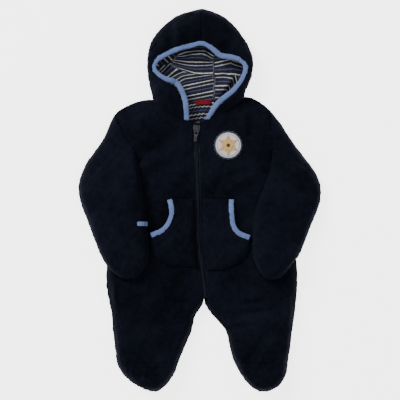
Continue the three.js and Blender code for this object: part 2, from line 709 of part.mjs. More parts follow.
// The rib of a hand slit lies across the palm; on the right sleeve its end shows on top.
function mittBinding(side) {
  const rung = station(SLEEVE[side], SLIT.middle);
  const under = [0.96, 0.85, 0.7, 0.5, 0.3, 0.12, 0.04].map((u) => {
    const { outer } = underSleevePoint(side, rung, u);
    return [outer[0], outer[1], outer[2] + 1];
  });
  const fold = [[rung.xIn - sign(side) * 2, rung.yIn, rung.zIn - 2]];
  const over = [0.01, 0.05, 0.1, 0.155].map((u) => {
    const { outer } = upperSleevePoint(side, rung, u, false);
    return [outer[0] - sign(side) * (u < 0.03 ? 1.6 : 0.4), outer[1], outer[2] + 1.3];
  });
  const path = side === 'right' ? [...under, ...fold, ...over] : under;
  const half = SLIT_RIB / 2;
  const rings = path.map(([x, y, z], k) => {
    const [before, after] = [path[Math.max(0, k - 1)], path[Math.min(path.length - 1, k + 1)]];
    const [dx, dz] = [after[0] - before[0], after[2] - before[2]];
    const thick = RIB / 2 / Math.hypot(dx, dz);
    const [nx, nz] = [-dz * thick, dx * thick];
    return [[x + nx, y + half, z + nz], [x + nx, y - half, z + nz],
      [x - nx, y - half, z - nz], [x - nx, y + half, z - nz]];
  });
  addPiece(`mitt_binding_${side}`, strip(rings), ribBlue);
}

function badge() {
  const rings = [0, 0.34, 0.68, 1];
  const turns = 20;
  const grid = (extra) => rings.slice(1).map((r) => Array.from({ length: turns }, (_, k) => {
    const angle = (2 * Math.PI * k) / turns;
    const [x, y] = [BADGE.x + BADGE.radius * r * Math.cos(angle),
      BADGE.y + BADGE.radius * r * Math.sin(angle)];
    return [x, y, bodyHeight(x, y) + extra];
  }));
  const middle = (extra) => [BADGE.x, BADGE.y, bodyHeight(BADGE.x, BADGE.y) + extra];
  const [top, bottom] = [SEAM + BADGE.thick, SEAM];
  const positions = [...grid(top).flat(2), ...grid(bottom).flat(2), ...middle(top), ...middle(bottom)];
  const size = (rings.length - 1) * turns;
  const index = [];
  for (let k = 0; k < turns; k += 1) {
    const next = (k + 1) % turns;
    for (let ring = 0; ring < rings.length - 2; ring += 1) {
      const [a, b, c, d] = [ring * turns + k, ring * turns + next,
        (ring + 1) * turns + next, (ring + 1) * turns + k];
      index.push(a, c, b, a, d, c, size + a, size + b, size + c, size + a, size + c, size + d);
    }
    const [a, b] = [size - turns + k, size - turns + next];
    index.push(2 * size, k, next, 2 * size + 1, size + next, size + k);
    index.push(a, size + b, b, a, size + a, size + b);
  }
  addPiece('badge', closedGeometry(positions, index), patchWhite);
}

// ---- zip ------------------------------------------------------------------------------------------

const TAPE = { top: -2.2, bottom: -3.2, inner: 1 };
const TEETH = { top: -0.4, bottom: -1.9, outer: 2.2, closed: 0.15, open: 1.3 };
const CLOSED_BELOW = 120;

function zipStrip(name, side, edges, faces, material) {
  const levels = [133, 123, 119, 118, 98, ARMHOLE[side].low[1],
    ...BODY_LEVELS.filter((y) => y > ZIP_END_Y)];
  const rows = (z) => levels.map((y) => {
    const middle = at(ZIP, 'x', y);
    return edges(y).map((across) => (
      [middle + sign(side) * across, y, bodyHeight(middle, y) + z]
    ));
  });
  addPiece(name, wall(rows(faces.top), rows(faces.bottom)), material);
}

function zip(side) {
  const tape = (y) => [TAPE.inner, at(ZIP, 'half', y) - SEAM];
  zipStrip(`zip_tape_${side}`, side, tape, TAPE, tapeNavy);
  const teeth = (y) => [y > CLOSED_BELOW ? TEETH.open : TEETH.closed,
    TEETH.outer + (y > CLOSED_BELOW ? 1 : 0)];
  zipStrip(`zip_teeth_${side}`, side, teeth, TEETH, tapeNavy);
}

function asManifold(geometry, position = [0, 0, 0]) {
  const bare = geometry.clone();
  bare.deleteAttribute('normal');
  bare.deleteAttribute('uv');
  const merged = mergeVertices(bare, 1e-5);
  merged.translate(...position);
  return new wasm.Manifold(new wasm.Mesh({
    numProp: 3,
    vertProperties: new Float32Array(merged.attributes.position.array),
    triVerts: new Uint32Array(merged.index.array),
  }));
}

function fromManifold(solid) {
  const { vertProperties, triVerts } = solid.getMesh();
  const geometry = new THREE.BufferGeometry();
  geometry.setAttribute('position', new THREE.BufferAttribute(vertProperties, 3));
  geometry.setIndex(new THREE.BufferAttribute(triVerts, 1));
  return geometry;
}

const prism = (points, depth) => new THREE.ExtrudeGeometry(
  new THREE.Shape(points.map(([x, y]) => new THREE.Vector2(x, y))), { depth, bevelEnabled: false },
);

const plateTop = 19 + TEETH.top + SEAM + SLIDER.plate;
const PULL_AXIS_Z = plateTop + 1.3;

function slider() {
  const [half, foot, length] = [SLIDER.top / 2, SLIDER.bottom / 2, SLIDER.length / 2];
  const outline = [[-foot, -length], [foot, -length], [half, length * 0.2], [half - 1, length],
    [1.6, length - 1.6], [-1.6, length - 1.6], [1 - half, length], [-half, length * 0.2]];
  const topPlate = asManifold(prism(outline, SLIDER.plate), [0, 0, plateTop - SLIDER.plate]);
  const tapeBottom = 19 + TAPE.bottom - SEAM;
  const bottomPlate = asManifold(prism(outline, 1.4), [0, 0, tapeBottom - 1.4]);
  const postHeight = plateTop - SLIDER.plate - tapeBottom + 0.4;
  const post = asManifold(new THREE.BoxGeometry(1.1, 2.6, postHeight),
    [0, 3, tapeBottom - 0.2 + postHeight / 2]);
  const arch = [[-6.6, -0.2], [-6.6, 3.6], [3.4, 3.6], [4.6, 2.4], [4.6, -0.2], [3.4, -0.2],
    [3.4, 2.6], [-5.4, 2.6], [-5.4, -0.2]];
  const bridge = prism(arch, 2.4);
  bridge.translate(0, 0, -1.2);
  bridge.rotateX(Math.PI / 2);
  bridge.rotateZ(Math.PI / 2);
  const standing = asManifold(bridge, [0, 0, plateTop]);
  const whole = topPlate.add(bottomPlate).add(post).add(standing);
  const mesh = addPiece('zip_slider', fromManifold(whole), gunMetal);
  mesh.position.set(SLIDER.x, SLIDER.y, 0);
  mesh.rotation.z = SLIDER.turn;
}

function pull() {
  const { length, wide, narrow, thick } = PULL;
  const tab = new THREE.Shape();
  tab.moveTo(-wide / 2, -1);
  tab.lineTo(-wide / 2 + 0.8, 0.7);
  tab.lineTo(wide / 2 - 0.8, 0.7);
  tab.lineTo(wide / 2, -1);
  tab.lineTo(wide / 2, -6.4);
  tab.lineTo(narrow / 2, -8.5);
  tab.lineTo(wide / 2 - 0.6, -length + 2);
  tab.lineTo(narrow / 2 - 0.6, -length);
  tab.lineTo(0.6 - narrow / 2, -length);
  tab.lineTo(0.6 - wide / 2, -length + 2);
  tab.lineTo(-narrow / 2, -8.5);
  tab.lineTo(-wide / 2, -6.4);
  const hole = (points) => new THREE.Path(points.map(([x, y]) => new THREE.Vector2(x, y)));
  tab.holes.push(hole([[-2.3, -0.6], [-2.3, -6], [2.3, -6], [2.3, -0.6]]));
  const turns = Array.from({ length: 10 }, (_, k) => (2 * Math.PI * k) / 10);
  tab.holes.push(hole(turns.map((turn) => [1.3 * Math.cos(turn), 3.2 - length + 1.3 * Math.sin(turn)])));
  const geometry = new THREE.ExtrudeGeometry(tab, { depth: thick, bevelEnabled: false });
  geometry.translate(0, 0, -thick / 2);
  const mesh = addPiece('zip_pull', geometry, gunMetal);
  mesh.position.set(PULL.x, PULL.y, PULL_AXIS_Z);
  mesh.rotation.z = PULL.turn;
}

function stop() {
  const mesh = addPiece('zip_stop', new THREE.BoxGeometry(STOP.width, STOP.depth, STOP.thick), gunMetal);
  mesh.position.set(STOP.x, STOP.y, 19 + TEETH.top + SEAM + STOP.thick / 2);
}

['right', 'left'].forEach((side) => {
  hoodHalf(side);
  front(side);
  back(side);
  foot(side);
  upperSleeve(side);
  underSleeve(side);
  mittBinding(side);
  pocket(side);
  zip(side);
});
hoodBinding();
neckPieces();
badge();
slider();
pull();
stop();

export default romper;
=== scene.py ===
import math

import bmesh
import bpy
import numpy as np
from mathutils.kdtree import KDTree
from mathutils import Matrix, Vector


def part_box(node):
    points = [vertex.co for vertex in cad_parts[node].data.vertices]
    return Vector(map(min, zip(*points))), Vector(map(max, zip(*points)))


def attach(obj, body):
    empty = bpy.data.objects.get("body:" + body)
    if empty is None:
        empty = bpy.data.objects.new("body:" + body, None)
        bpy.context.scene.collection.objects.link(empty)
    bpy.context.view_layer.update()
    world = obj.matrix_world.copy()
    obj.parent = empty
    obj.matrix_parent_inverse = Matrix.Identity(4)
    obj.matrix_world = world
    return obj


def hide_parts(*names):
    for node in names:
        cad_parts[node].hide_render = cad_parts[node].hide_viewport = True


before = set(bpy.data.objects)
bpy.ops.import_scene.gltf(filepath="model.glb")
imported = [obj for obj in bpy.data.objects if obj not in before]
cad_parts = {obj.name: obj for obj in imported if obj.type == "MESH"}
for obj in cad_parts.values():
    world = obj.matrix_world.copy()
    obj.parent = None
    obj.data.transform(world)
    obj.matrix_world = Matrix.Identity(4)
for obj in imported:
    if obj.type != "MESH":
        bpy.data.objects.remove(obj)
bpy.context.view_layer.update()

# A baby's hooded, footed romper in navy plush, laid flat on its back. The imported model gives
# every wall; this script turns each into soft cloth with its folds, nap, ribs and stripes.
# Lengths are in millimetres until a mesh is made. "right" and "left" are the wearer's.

MM = 0.001
BODY = "romper"
SIDES = ("right", "left")


# ---- small maths ------------------------------------------------------------------------------

def smooth(t):
    t = np.clip(t, 0, 1)
    return t * t * (3 - 2 * t)


def lumps(points, size, seed, waves=22):
    """Even random lumps about size across, from -1 to 1, as a sum of waves in every direction."""
    random = np.random.default_rng(seed)
    total = np.zeros(len(points))
    for _ in range(waves):
        direction = random.normal(size=3)
        direction *= 2 * math.pi / (size * random.uniform(0.75, 1.5) * np.linalg.norm(direction))
        total += np.sin(points @ direction + random.uniform(0, 2 * math.pi))
    return total / math.sqrt(waves)


def along_route(points, route):
    """For each point, its distance off a route, on which side it lies, and how far along it is."""
    route = np.array(route, float)
    steps = np.linalg.norm(np.diff(route, axis=0), axis=1)
    before = np.concatenate([[0], np.cumsum(steps)])
    best = np.full(len(points), np.inf)
    side, place = np.zeros(len(points)), np.zeros(len(points))
    for k, step in enumerate(steps):
        way = (route[k + 1] - route[k]) / step
        offset = points[:, :2] - route[k]
        run = np.clip(offset @ way, 0, step)
        gap = offset - run[:, None] * way
        distance = np.hypot(gap[:, 0], gap[:, 1])
        nearer = distance < best
        best = np.where(nearer, distance, best)
        side = np.where(nearer, np.sign(way[0] * offset[:, 1] - way[1] * offset[:, 0]), side)
        place = np.where(nearer, (before[k] + run) / before[-1], place)
    return best, side, place


FOLD_STRENGTH = 1.6


def folded(points, folds):
    """Height added by a table of folds: each has a route, a half width, a height and a lean."""
    total = np.zeros(len(points))
    for route, width, height, lean in folds:
        distance, side, place = along_route(points, route)
        reach = width * (1 + lean * side)
        ends = smooth(place / 0.3) * smooth((1 - place) / 0.3) * 0.75 + 0.25
        total += height * np.exp(-(distance / reach) ** 2) * ends
    return FOLD_STRENGTH * total


# ---- folds: route, half width, height (a trough is negative), lean ------------------------------

BODY_FOLDS = [
    # chest and waist, wearer's right
    ([(-99, 53), (-76, 65), (-55, 73)], 9, 3.4, 0.2),
    ([(-106, 72), (-74, 86), (-41, 108)], 12, -2.6, 0),
    ([(-98, 112), (-86, 108)], 10, 1.6, 0),
    ([(-101, 43), (-84, 20), (-65, 0)], 13, -3.0, 0),
    ([(-82, 31), (-72, 21)], 8, 1.9, 0),
    ([(-103, 72), (-99, 64)], 6, -3.5, 0),
    ([(-52, 18), (-34, 42), (-18, 52)], 11, 1.8, 0),
    ([(-96, -40), (-98, -75)], 9, -2.2, 0),
    # chest and waist, wearer's left
    ([(75, 154), (77, 130), (77, 106)], 7, 2.6, -0.4),
    ([(86, 150), (88, 122), (92, 100)], 8, -1.8, 0),
    ([(9, 4), (38, 33), (77, 50)], 9, -3.2, 0),
    ([(42, 16), (68, 30), (95, 40)], 8, 3.2, 0),
    ([(24, 9), (44, 7)], 5, 1.7, 0),
    ([(66, -8), (88, -44)], 12, -2.8, 0),
    ([(96, 76), (112, 58), (122, 40)], 8, -2.4, 0),
    ([(20, 98), (32, 60), (30, 44)], 9, 1.4, 0),
    # seat and thighs
    ([(-144, -140), (-146, -160), (-143, -184)], 5, 2.2, 0),
    ([(-61, -138), (-42, -150), (-22, -158)], 9, 3.0, 0),
    ([(-62, -170), (-38, -177), (-14, -176)], 9, -3.0, 0),
    ([(-94, -126), (-80, -140)], 9, 2.0, 0),
    ([(-128, -150), (-108, -166), (-84, -170)], 10, -2.0, 0),
    ([(60, -172), (86, -166), (112, -163)], 7, 3.2, 0.2),
    ([(22, -194), (51, -216), (104, -215)], 6, -2.8, 0),
    ([(18, -187), (60, -197), (118, -189), (141, -170)], 7, -3.2, 0),
    ([(152, -160), (151, -205)], 6, 1.8, 0),
    ([(30, -150), (52, -140), (80, -142)], 11, -1.8, 0),
    # lower legs
    ([(-118, -205), (-96, -214), (-60, -210)], 12, -2.2, 0),
    ([(-132, -232), (-104, -242), (-86, -236)], 10, 1.8, 0),
    ([(-76, -246), (-56, -250)], 5, 1.9, 0),
    ([(-60, -262), (-86, -270)], 8, -1.8, 0),
    ([(76, -284), (96, -256), (118, -228)], 10, -2.8, 0),
    ([(90, -286), (110, -258), (130, -236)], 8, 2.4, 0),
    ([(62, -236), (78, -228)], 9, 1.6, 0),
    # feet
    ([(-102, -297), (-88, -300), (-75, -308)], 6, 2.2, 0),
    ([(-77, -279), (-60, -304)], 10, -2.8, 0),
    ([(-120, -286), (-108, -300)], 9, 1.4, 0),
    ([(78, -284), (86, -296)], 9, -2.0, 0),
    ([(96, -292), (114, -306)], 8, 2.0, 0),
    ([(128, -282), (122, -300)], 8, -1.6, 0),
]
SLEEVE_FOLDS = [
    ([(-128, 14), (-120, -4), (-115, -24)], 10, 2.8, 0),
    ([(-97, -10), (-94, -38)], 6, 1.6, 0),
    ([(-140, 60), (-122, 44), (-112, 30)], 10, -2.4, 0),
    ([(-176, 52), (-158, 34)], 11, 2.0, 0),
    ([(-196, 10), (-172, 0), (-150, -6)], 9, -2.6, 0),
    ([(-190, -28), (-166, -38), (-140, -34)], 10, 1.8, 0),
    ([(-172, -58), (-148, -64)], 11, -1.8, 0),
    ([(-104, -62), (-108, -92)], 8, 1.6, 0),
    ([(-146, -92), (-126, -112)], 9, -1.6, 0),
    ([(98, 2), (122, -3), (144, -10)], 13, 2.6, 0),
    ([(142, -10), (140, -34)], 10, 1.8, 0),
    ([(122, 69), (118, 50), (113, 30)], 3.5, -1.4, 0),
    ([(138, 98), (148, 80), (152, 62)], 10, -2.2, 0),
    ([(172, 62), (160, 40)], 11, 2.2, 0),
    ([(202, 18), (180, 12), (162, 20)], 8, -2.8, 0),
    ([(196, -18), (176, -26), (160, -22)], 10, 1.8, 0),
    ([(180, -52), (158, -60), (132, -54)], 11, -2.2, 0),
    ([(108, -70), (112, -98)], 8, 1.6, 0),
    ([(160, -84), (140, -98)], 10, 1.4, 0),
]
HOOD_FOLDS = [
    ([(-18, 316), (-8, 311)], 11, -2.8, 0),
    ([(34, 262), (46, 257), (58, 254)], 9, -3.0, 0),
    ([(-52, 308), (-49, 284), (-47, 258)], 7, -3.2, 0),
    ([(-38, 304), (-37, 284), (-38, 266)], 7, 2.2, 0),
    ([(-42, 204), (-40, 186)], 8, -2.4, 0),
    ([(-76, 196), (-66, 182)], 9, 1.8, 0),
    ([(10, 300), (24, 290), (40, 290)], 11, 1.6, 0),
    ([(66, 272), (76, 256)], 9, -2.0, 0),
    ([(70, 200), (60, 184)], 8, 1.8, 0),
    ([(-80, 262), (-70, 252)], 9, -1.8, 0),
]
# The back lies on the table, so its folds only lift off it.
BACK_FOLDS = [
    ([(-110, 96), (-70, 80), (-20, 86)], 12, 2.2, 0),
    ([(30, 60), (80, 48), (120, 60)], 13, 2.0, 0),
    ([(-120, -10), (-70, -22), (-30, -14)], 12, 2.0, 0),
    ([(20, -60), (76, -74), (130, -62)], 14, 2.4, 0),
    ([(-130, -120), (-80, -128), (-20, -116)], 12, 2.2, 0),
    ([(40, -160), (90, -176), (140, -170)], 11, 2.2, 0),
    ([(-136, -206), (-96, -216), (-40, -206)], 11, 2.2, 0),
    ([(64, -232), (104, -244), (144, -236)], 10, 2.0, 0),
]
UNDER_SLEEVE_FOLDS = [
    ([(-196, 30), (-176, 18)], 9, 1.8, 0),
    ([(-190, -26), (-168, -40)], 10, 2.0, 0),
    ([(196, 26), (176, 10)], 9, 2.0, 0),
    ([(192, -30), (170, -44)], 10, 1.8, 0),
]
LINING_FOLDS = [
    ([(-26, 243), (-3, 247), (20, 243)], 8, 5.5, 0),
    ([(-46, 246), (-22, 233), (0, 229), (24, 232), (42, 238)], 5, -1.2, 0),
    ([(-60, 236), (-50, 231), (-34, 215)], 7, 3.0, 0.3),
    ([(60, 214), (46, 196), (30, 176)], 7, 3.4, -0.3),
    ([(30, 224), (40, 220), (50, 221)], 8, 2.2, 0),
    ([(-40, 206), (0, 214), (40, 210)], 6, 1.0, 0),
    ([(-30, 190), (0, 196), (22, 199)], 5, 0.8, 0),
]


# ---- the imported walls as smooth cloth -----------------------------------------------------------

def node_mesh(node):
    """A packed wall in millimetres, its corners joined."""
    made = bmesh.new()
    made.from_mesh(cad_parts[node].data)
    bmesh.ops.scale(made, vec=(1 / MM,) * 3, verts=made.verts)
    bmesh.ops.remove_doubles(made, verts=made.verts, dist=0.001)
    made.normal_update()
    return made


def closed_wall(node, puff=0.7):
    """A packed wall made ready for smoothing, and the size of its flat cut.

    The rim keeps its edge, the gentler bends go soft, and the whole wall swells by puff, which
    closes the seams between neighbours.
    """
    made = node_mesh(node)
    corners = np.array([vert.co for vert in made.verts])
    width, length = np.ptp(corners[:, 0]), np.ptp(corners[:, 1])
    area = sum(face.calc_area() for face in made.faces) / 2
    ease = max(1, math.sqrt(area / (0.92 * width * length)))
    cut = (width * ease, length * ease, max(area, 0.31 * width * length * ease * ease))
    bmesh.ops.join_triangles(made, faces=made.faces[:], angle_face_threshold=0.8,
                             angle_shape_threshold=math.pi)
    crease = made.edges.layers.float.new("crease_edge")
    for edge in made.edges:
        bend = math.degrees(edge.calc_face_angle(0))
        edge[crease] = min(1, max(0, (bend - 50) / 30))
    made.normal_update()
    for vert in made.verts:
        vert.co += vert.normal * puff
    return made, cut


def mesh_object(name, mesh):
    piece = bpy.data.objects.new(name, mesh)
    bpy.context.scene.collection.objects.link(piece)
    return piece


def evaluated(piece):
    """The piece with its modifiers made real."""
    whole = piece.evaluated_get(bpy.context.evaluated_depsgraph_get())
    mesh = bpy.data.meshes.new_from_object(whole)
    piece.modifiers.clear()
    piece.data = mesh
    return piece


def refined(name, made, levels):
    mesh = bpy.data.meshes.new(name)
    made.to_mesh(mesh)
    made.free()
    piece = mesh_object(name, mesh)
    finer = piece.modifiers.new("finer", "SUBSURF")
    finer.levels = finer.render_levels = levels
    finer.boundary_smooth = "ALL"
    return evaluated(piece)


def places(mesh):
    flat = np.empty(3 * len(mesh.vertices))
    mesh.vertices.foreach_get("co", flat)
    return flat.reshape(-1, 3)


def normals(mesh):
    flat = np.empty(3 * len(mesh.vertices))
    mesh.vertex_normals.foreach_get("vector", flat)
    return flat.reshape(-1, 3)


def dress(piece, node, material, slot):
    """Gives a cloth piece its finish, and its place in the frame."""
    mesh = piece.data
    mesh.polygons.foreach_set("use_smooth", np.ones(len(mesh.polygons), bool))
    mesh.materials.clear()
    mesh.materials.append(material)
    seat(piece, slot, node)


def seat(piece, slot, *nodes):
    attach(piece, BODY)
    if nodes:
        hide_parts(*nodes)


# ---- materials ----------------------------------------------------------------------------------

class Finish:
    """A material's nodes, added one call at a time."""

    def __init__(self, name):
        self.material = bpy.data.materials.new(name)
        self.material.use_nodes = True
        self.tree = self.material.node_tree
        self.tree.nodes.clear()
        self.shader = self.add("ShaderNodeBsdfPrincipled")
        self.add("ShaderNodeOutputMaterial", {"Surface": self.shader.outputs[0]})

    def add(self, kind, inputs=None, **settings):
        node = self.tree.nodes.new(kind)
        for key, value in settings.items():
            setattr(node, key, value)
        self.join(node, inputs or {})
        return node

    def join(self, node, inputs):
        for key, value in inputs.items():
            if isinstance(value, bpy.types.NodeSocket):
                self.tree.links.new(value, node.inputs[key])
            else:
                node.inputs[key].default_value = value

    def set(self, **inputs):
        self.join(self.shader, {key.replace("_", " "): value for key, value in inputs.items()})

    def math(self, operation, first, second=0.0, third=0.0):
        return self.add("ShaderNodeMath", {0: first, 1: second, 2: third}, operation=operation).outputs[0]

    def place(self):
        return self.add("ShaderNodeTexCoord").outputs["Object"]

    def noise(self, size, detail=3.0, rough=0.5, place=None):
        """Noise whose lumps are about size across, in millimetres."""
        return self.add("ShaderNodeTexNoise", {
            "Vector": place or self.place(), "Scale": 0.6 / (size * MM),
            "Detail": detail, "Roughness": rough,
        }).outputs["Fac"]

    def ramp(self, value, stops, interpolation="LINEAR"):
        node = self.add("ShaderNodeValToRGB", {"Fac": value})
        node.color_ramp.interpolation = interpolation
        while len(node.color_ramp.elements) < len(stops):
            node.color_ramp.elements.new(0.5)
        for element, (position, colour) in zip(node.color_ramp.elements, stops):
            element.position = position
            element.color = (*colour, 1)
        return node.outputs["Color"]

    def mix(self, fraction, first, second, kind="MIX"):
        node = self.add("ShaderNodeMix", data_type="RGBA", blend_type=kind)
        for socket, value in ((0, fraction), (6, first), (7, second)):
            if isinstance(value, tuple):
                value = (*value, 1)
            self.join(node, {socket: value})
        return node.outputs[2]

    def bump(self, height, distance, strength=1.0, under=None):
        inputs = {"Height": height, "Distance": distance * MM, "Strength": strength}
        if under:
            inputs["Normal"] = under
        return self.add("ShaderNodeBump", inputs).outputs[0]


def plush(name, dark, light):
    """Thick navy plush: clumped nap with a soft bluish bloom where it is brushed up."""
    finish = Finish(name)
    brushed = finish.noise(46, 4)
    clumps = finish.noise(5.5, 3, 0.6)
    fibres = finish.noise(1.3, 2, 0.6)
    shade = finish.math("MULTIPLY_ADD", clumps, 0.35, finish.math("MULTIPLY", brushed, 0.65))
    colour = finish.ramp(shade, [(0.34, dark), (0.5, tuple((a + b) / 2 for a, b in zip(dark, light))),
                                 (0.66, light)])
    deep = finish.mix(0.3, colour, finish.ramp(fibres, [(0.3, (0.45,) * 3), (0.7, (1.5,) * 3)]),
                      "MULTIPLY")
    normal = finish.bump(clumps, 1.2, 0.6)
    normal = finish.bump(fibres, 0.5, 0.7, normal)
    finish.set(Base_Color=deep, Roughness=0.95, Normal=normal, Sheen_Weight=0.025,
               Sheen_Roughness=0.5, Sheen_Tint=(0.4, 0.48, 0.75, 1), Specular_IOR_Level=0.03)
    return finish.material


def rib(name, colour):
    """Knitted rib: fine wales across the band, with painted shade in the grooves and a painted highlight
    on the crests.
    """
    finish = Finish(name)
    length = finish.add("ShaderNodeUVMap", uv_map="length").outputs[0]
    split = finish.add("ShaderNodeSeparateXYZ", {0: length})
    yarn = finish.noise(2.2, 3)
    place = finish.math("ADD", split.outputs[0], finish.math("MULTIPLY", yarn, 0.25))
    wale = finish.math("SINE", finish.math("MULTIPLY", place, 2 * math.pi / 1.25))
    purl = finish.math("SINE", finish.math("MULTIPLY", split.outputs[1], 2 * math.pi / 1.0))
    knit = finish.math("MULTIPLY_ADD", purl, 0.3, wale)
    level = finish.math("MULTIPLY_ADD", knit, 0.32, 0.5)
    # painted shade and highlight: the grooves darker and the crests lighter than the rib's one colour
    dark = tuple(value * 0.66 for value in colour)
    light = tuple(min(1, value * 1.22) for value in colour)
    shade = finish.ramp(level, [(0.1, dark), (0.5, colour), (0.95, light)])
    patchy = finish.ramp(finish.noise(9, 3), [(0.3, (0.86,) * 3), (0.7, (1.1,) * 3)])
    finish.set(Base_Color=finish.mix(1.0, shade, patchy, "MULTIPLY"), Roughness=0.9,
               Normal=finish.bump(level, 0.35, 0.8, finish.bump(yarn, 0.3, 0.4)),
               Sheen_Weight=0.15, Sheen_Roughness=0.5, Sheen_Tint=(0.75, 0.85, 1, 1))
    return finish.material


def striped(name):
    """Striped jersey: pale, grey-blue and violet lines in turn on a near-black ground, with painted shade
    along the seam, under the slack's edge and along the corner's ridge.
    """
    finish = Finish(name)
    place = finish.add("ShaderNodeUVMap", uv_map="stripes").outputs[0]
    split = finish.add("ShaderNodeSeparateXYZ", {0: place})
    wobble = finish.math("MULTIPLY_ADD", finish.noise(3.0, 3), 0.16, split.outputs[0])
    turn = finish.math("FRACT", wobble)
    line = finish.ramp(turn, [(0.34, (0, 0, 0)), (0.39, (1, 1, 1)), (0.61, (1, 1, 1)),
                              (0.66, (0, 0, 0))])
    which = finish.math("FRACT", finish.math("DIVIDE", finish.math("FLOOR", wobble), 3.0))
    yarn = finish.ramp(which, [(0.0, (0.40, 0.39, 0.38)), (0.3, (0.26, 0.28, 0.31)),
                               (0.6, (0.042, 0.042, 0.115))], "CONSTANT")
    worn = finish.ramp(finish.noise(2.4, 4, 0.7), [(0.3, (0.55,) * 3), (0.62, (1.05,) * 3)])
    stitches = finish.math("SINE", finish.math("MULTIPLY", split.outputs[1], 2 * math.pi / 1.1))
    rows = finish.math("SINE", finish.math("MULTIPLY", split.outputs[0], 2 * math.pi * 5))
    knit = finish.math("ADD", stitches, rows)
    colour = finish.mix(line, (0.0042, 0.0052, 0.0125), finish.mix(1.0, yarn, worn, "MULTIPLY"))
    painted_shade = finish.add("ShaderNodeUVMap", uv_map="painted_shade").outputs[0]
    away = finish.add("ShaderNodeSeparateXYZ", {0: painted_shade}).outputs[0]
    # painted shade: the lining's colour is darkened within a few millimetres of the seam, the slack's
    # lower edge and the corner's ridge
    shadow = finish.ramp(finish.math("DIVIDE", away, 4.0), [(0.12, (0.05, 0.06, 0.09)), (0.38, (1, 1, 1))])
    colour = finish.mix(1.0, colour, shadow, "MULTIPLY")
    finish.set(Base_Color=colour, Roughness=0.85, Sheen_Weight=0.04, Specular_IOR_Level=0.2,
               Normal=finish.bump(knit, 0.12, 0.6, finish.bump(finish.noise(1.0, 2), 0.2, 0.4)))
    return finish.material


def woven(name, colour, pitch=0.8):
    """Close-woven tape with a herringbone of fine threads."""
    finish = Finish(name)
    split = finish.add("ShaderNodeSeparateXYZ", {0: finish.place()})
    lean = finish.math("ABSOLUTE", finish.math("ADD", split.outputs[0], 0.005))
    threads = finish.math("SINE", finish.math(
        "MULTIPLY", finish.math("ADD", split.outputs[1], lean), 2 * math.pi / (pitch * MM)))
    level = finish.math("MULTIPLY_ADD", threads, 0.4, 0.5)
    dark = tuple(value * 0.6 for value in colour)
    patchy = finish.ramp(finish.noise(4, 3), [(0.3, (0.8,) * 3), (0.7, (1.15,) * 3)])
    finish.set(Base_Color=finish.mix(1.0, finish.ramp(level, [(0.1, dark), (0.9, colour)]), patchy,
                                     "MULTIPLY"),
               Roughness=0.8, Normal=finish.bump(level, 0.2, 0.7), Specular_IOR_Level=0.08)
    return finish.material


def thread(name, colour, pitch=0.7, across=0.6):
    """Embroidery: slanted satin stitches with a soft gloss."""
    finish = Finish(name)
    split = finish.add("ShaderNodeSeparateXYZ", {0: finish.place()})
    slant = finish.math("MULTIPLY_ADD", split.outputs[0], across, split.outputs[1])
    shaken = finish.math("MULTIPLY_ADD", finish.noise(1.4, 3), 0.6 * MM, slant)
    level = finish.math("MULTIPLY_ADD", finish.math("SINE", finish.math(
        "MULTIPLY", shaken, 2 * math.pi / (pitch * MM))), 0.4, 0.5)
    dark = tuple(value * 0.55 for value in colour)
    finish.set(Base_Color=finish.ramp(level, [(0.05, dark), (0.6, colour)]), Roughness=0.55,
               Normal=finish.bump(level, 0.25, 0.8), Specular_IOR_Level=0.4, Sheen_Weight=0.1)
    return finish.material


def moulded(name, colour):
    finish = Finish(name)
    grain = finish.noise(1.5, 3)
    finish.set(Base_Color=finish.ramp(grain, [(0.2, tuple(v * 0.8 for v in colour)), (0.8, colour)]),
               Roughness=0.5, Normal=finish.bump(grain, 0.05, 0.3), Specular_IOR_Level=0.12)
    return finish.material


def gunmetal(name):
    finish = Finish(name)
    cloudy = finish.noise(2.5, 4, 0.6)
    colour = finish.ramp(cloudy, [(0.3, (0.045, 0.045, 0.055)), (0.7, (0.12, 0.12, 0.145))])
    rough = finish.math("MULTIPLY_ADD", finish.noise(0.9, 3), 0.25, 0.22)
    finish.set(Base_Color=colour, Metallic=1.0, Roughness=rough,
               Normal=finish.bump(finish.noise(0.5, 2), 0.03, 0.4))
    return finish.material


PLUSH = plush("plush_navy", (0.0010, 0.0012, 0.0026), (0.0040, 0.0048, 0.0098))
RIB = rib("rib_blue", (0.080, 0.124, 0.29))
STRIPED = striped("lining_stripe")
TAPE = woven("zip_tape", (0.0100, 0.0122, 0.0235))
TEETH = moulded("zip_teeth", (0.0050, 0.0064, 0.0125))
METAL = gunmetal("gunmetal")
LABEL = woven("label_red", (0.155, 0.009, 0.015), 0.6)
NAVY_THREAD = thread("thread_navy", (0.014, 0.018, 0.045))
PALE_THREAD = thread("thread_pale", (0.62, 0.58, 0.50), 0.8, -0.4)
GOLD_THREAD = thread("thread_gold", (0.60, 0.36, 0.08))
ROSE_THREAD = thread("thread_rose", (0.46, 0.27, 0.22), 0.7, -0.8)
BLUE_THREAD = thread("thread_blue", (0.10, 0.17, 0.36), 0.6, 0.9)


# ---- plush pieces -------------------------------------------------------------------------------

NAP = {"fine": 4.6, "height": 0.42, "lump": 34, "rise": 0.8}
BLUNTED = [((-148, 144), (1.6, -1.4), 14), ((147, 152), (-1.2, -1.4), 14)]


def drape(points, folds):
    """How far the cloth rises at each point, for its folds and its uneven filling."""
    free = smooth((points[:, 2] - 6) / 9)
    return free * (folded(points, folds) + NAP["rise"] * lumps(points, NAP["lump"], 11))


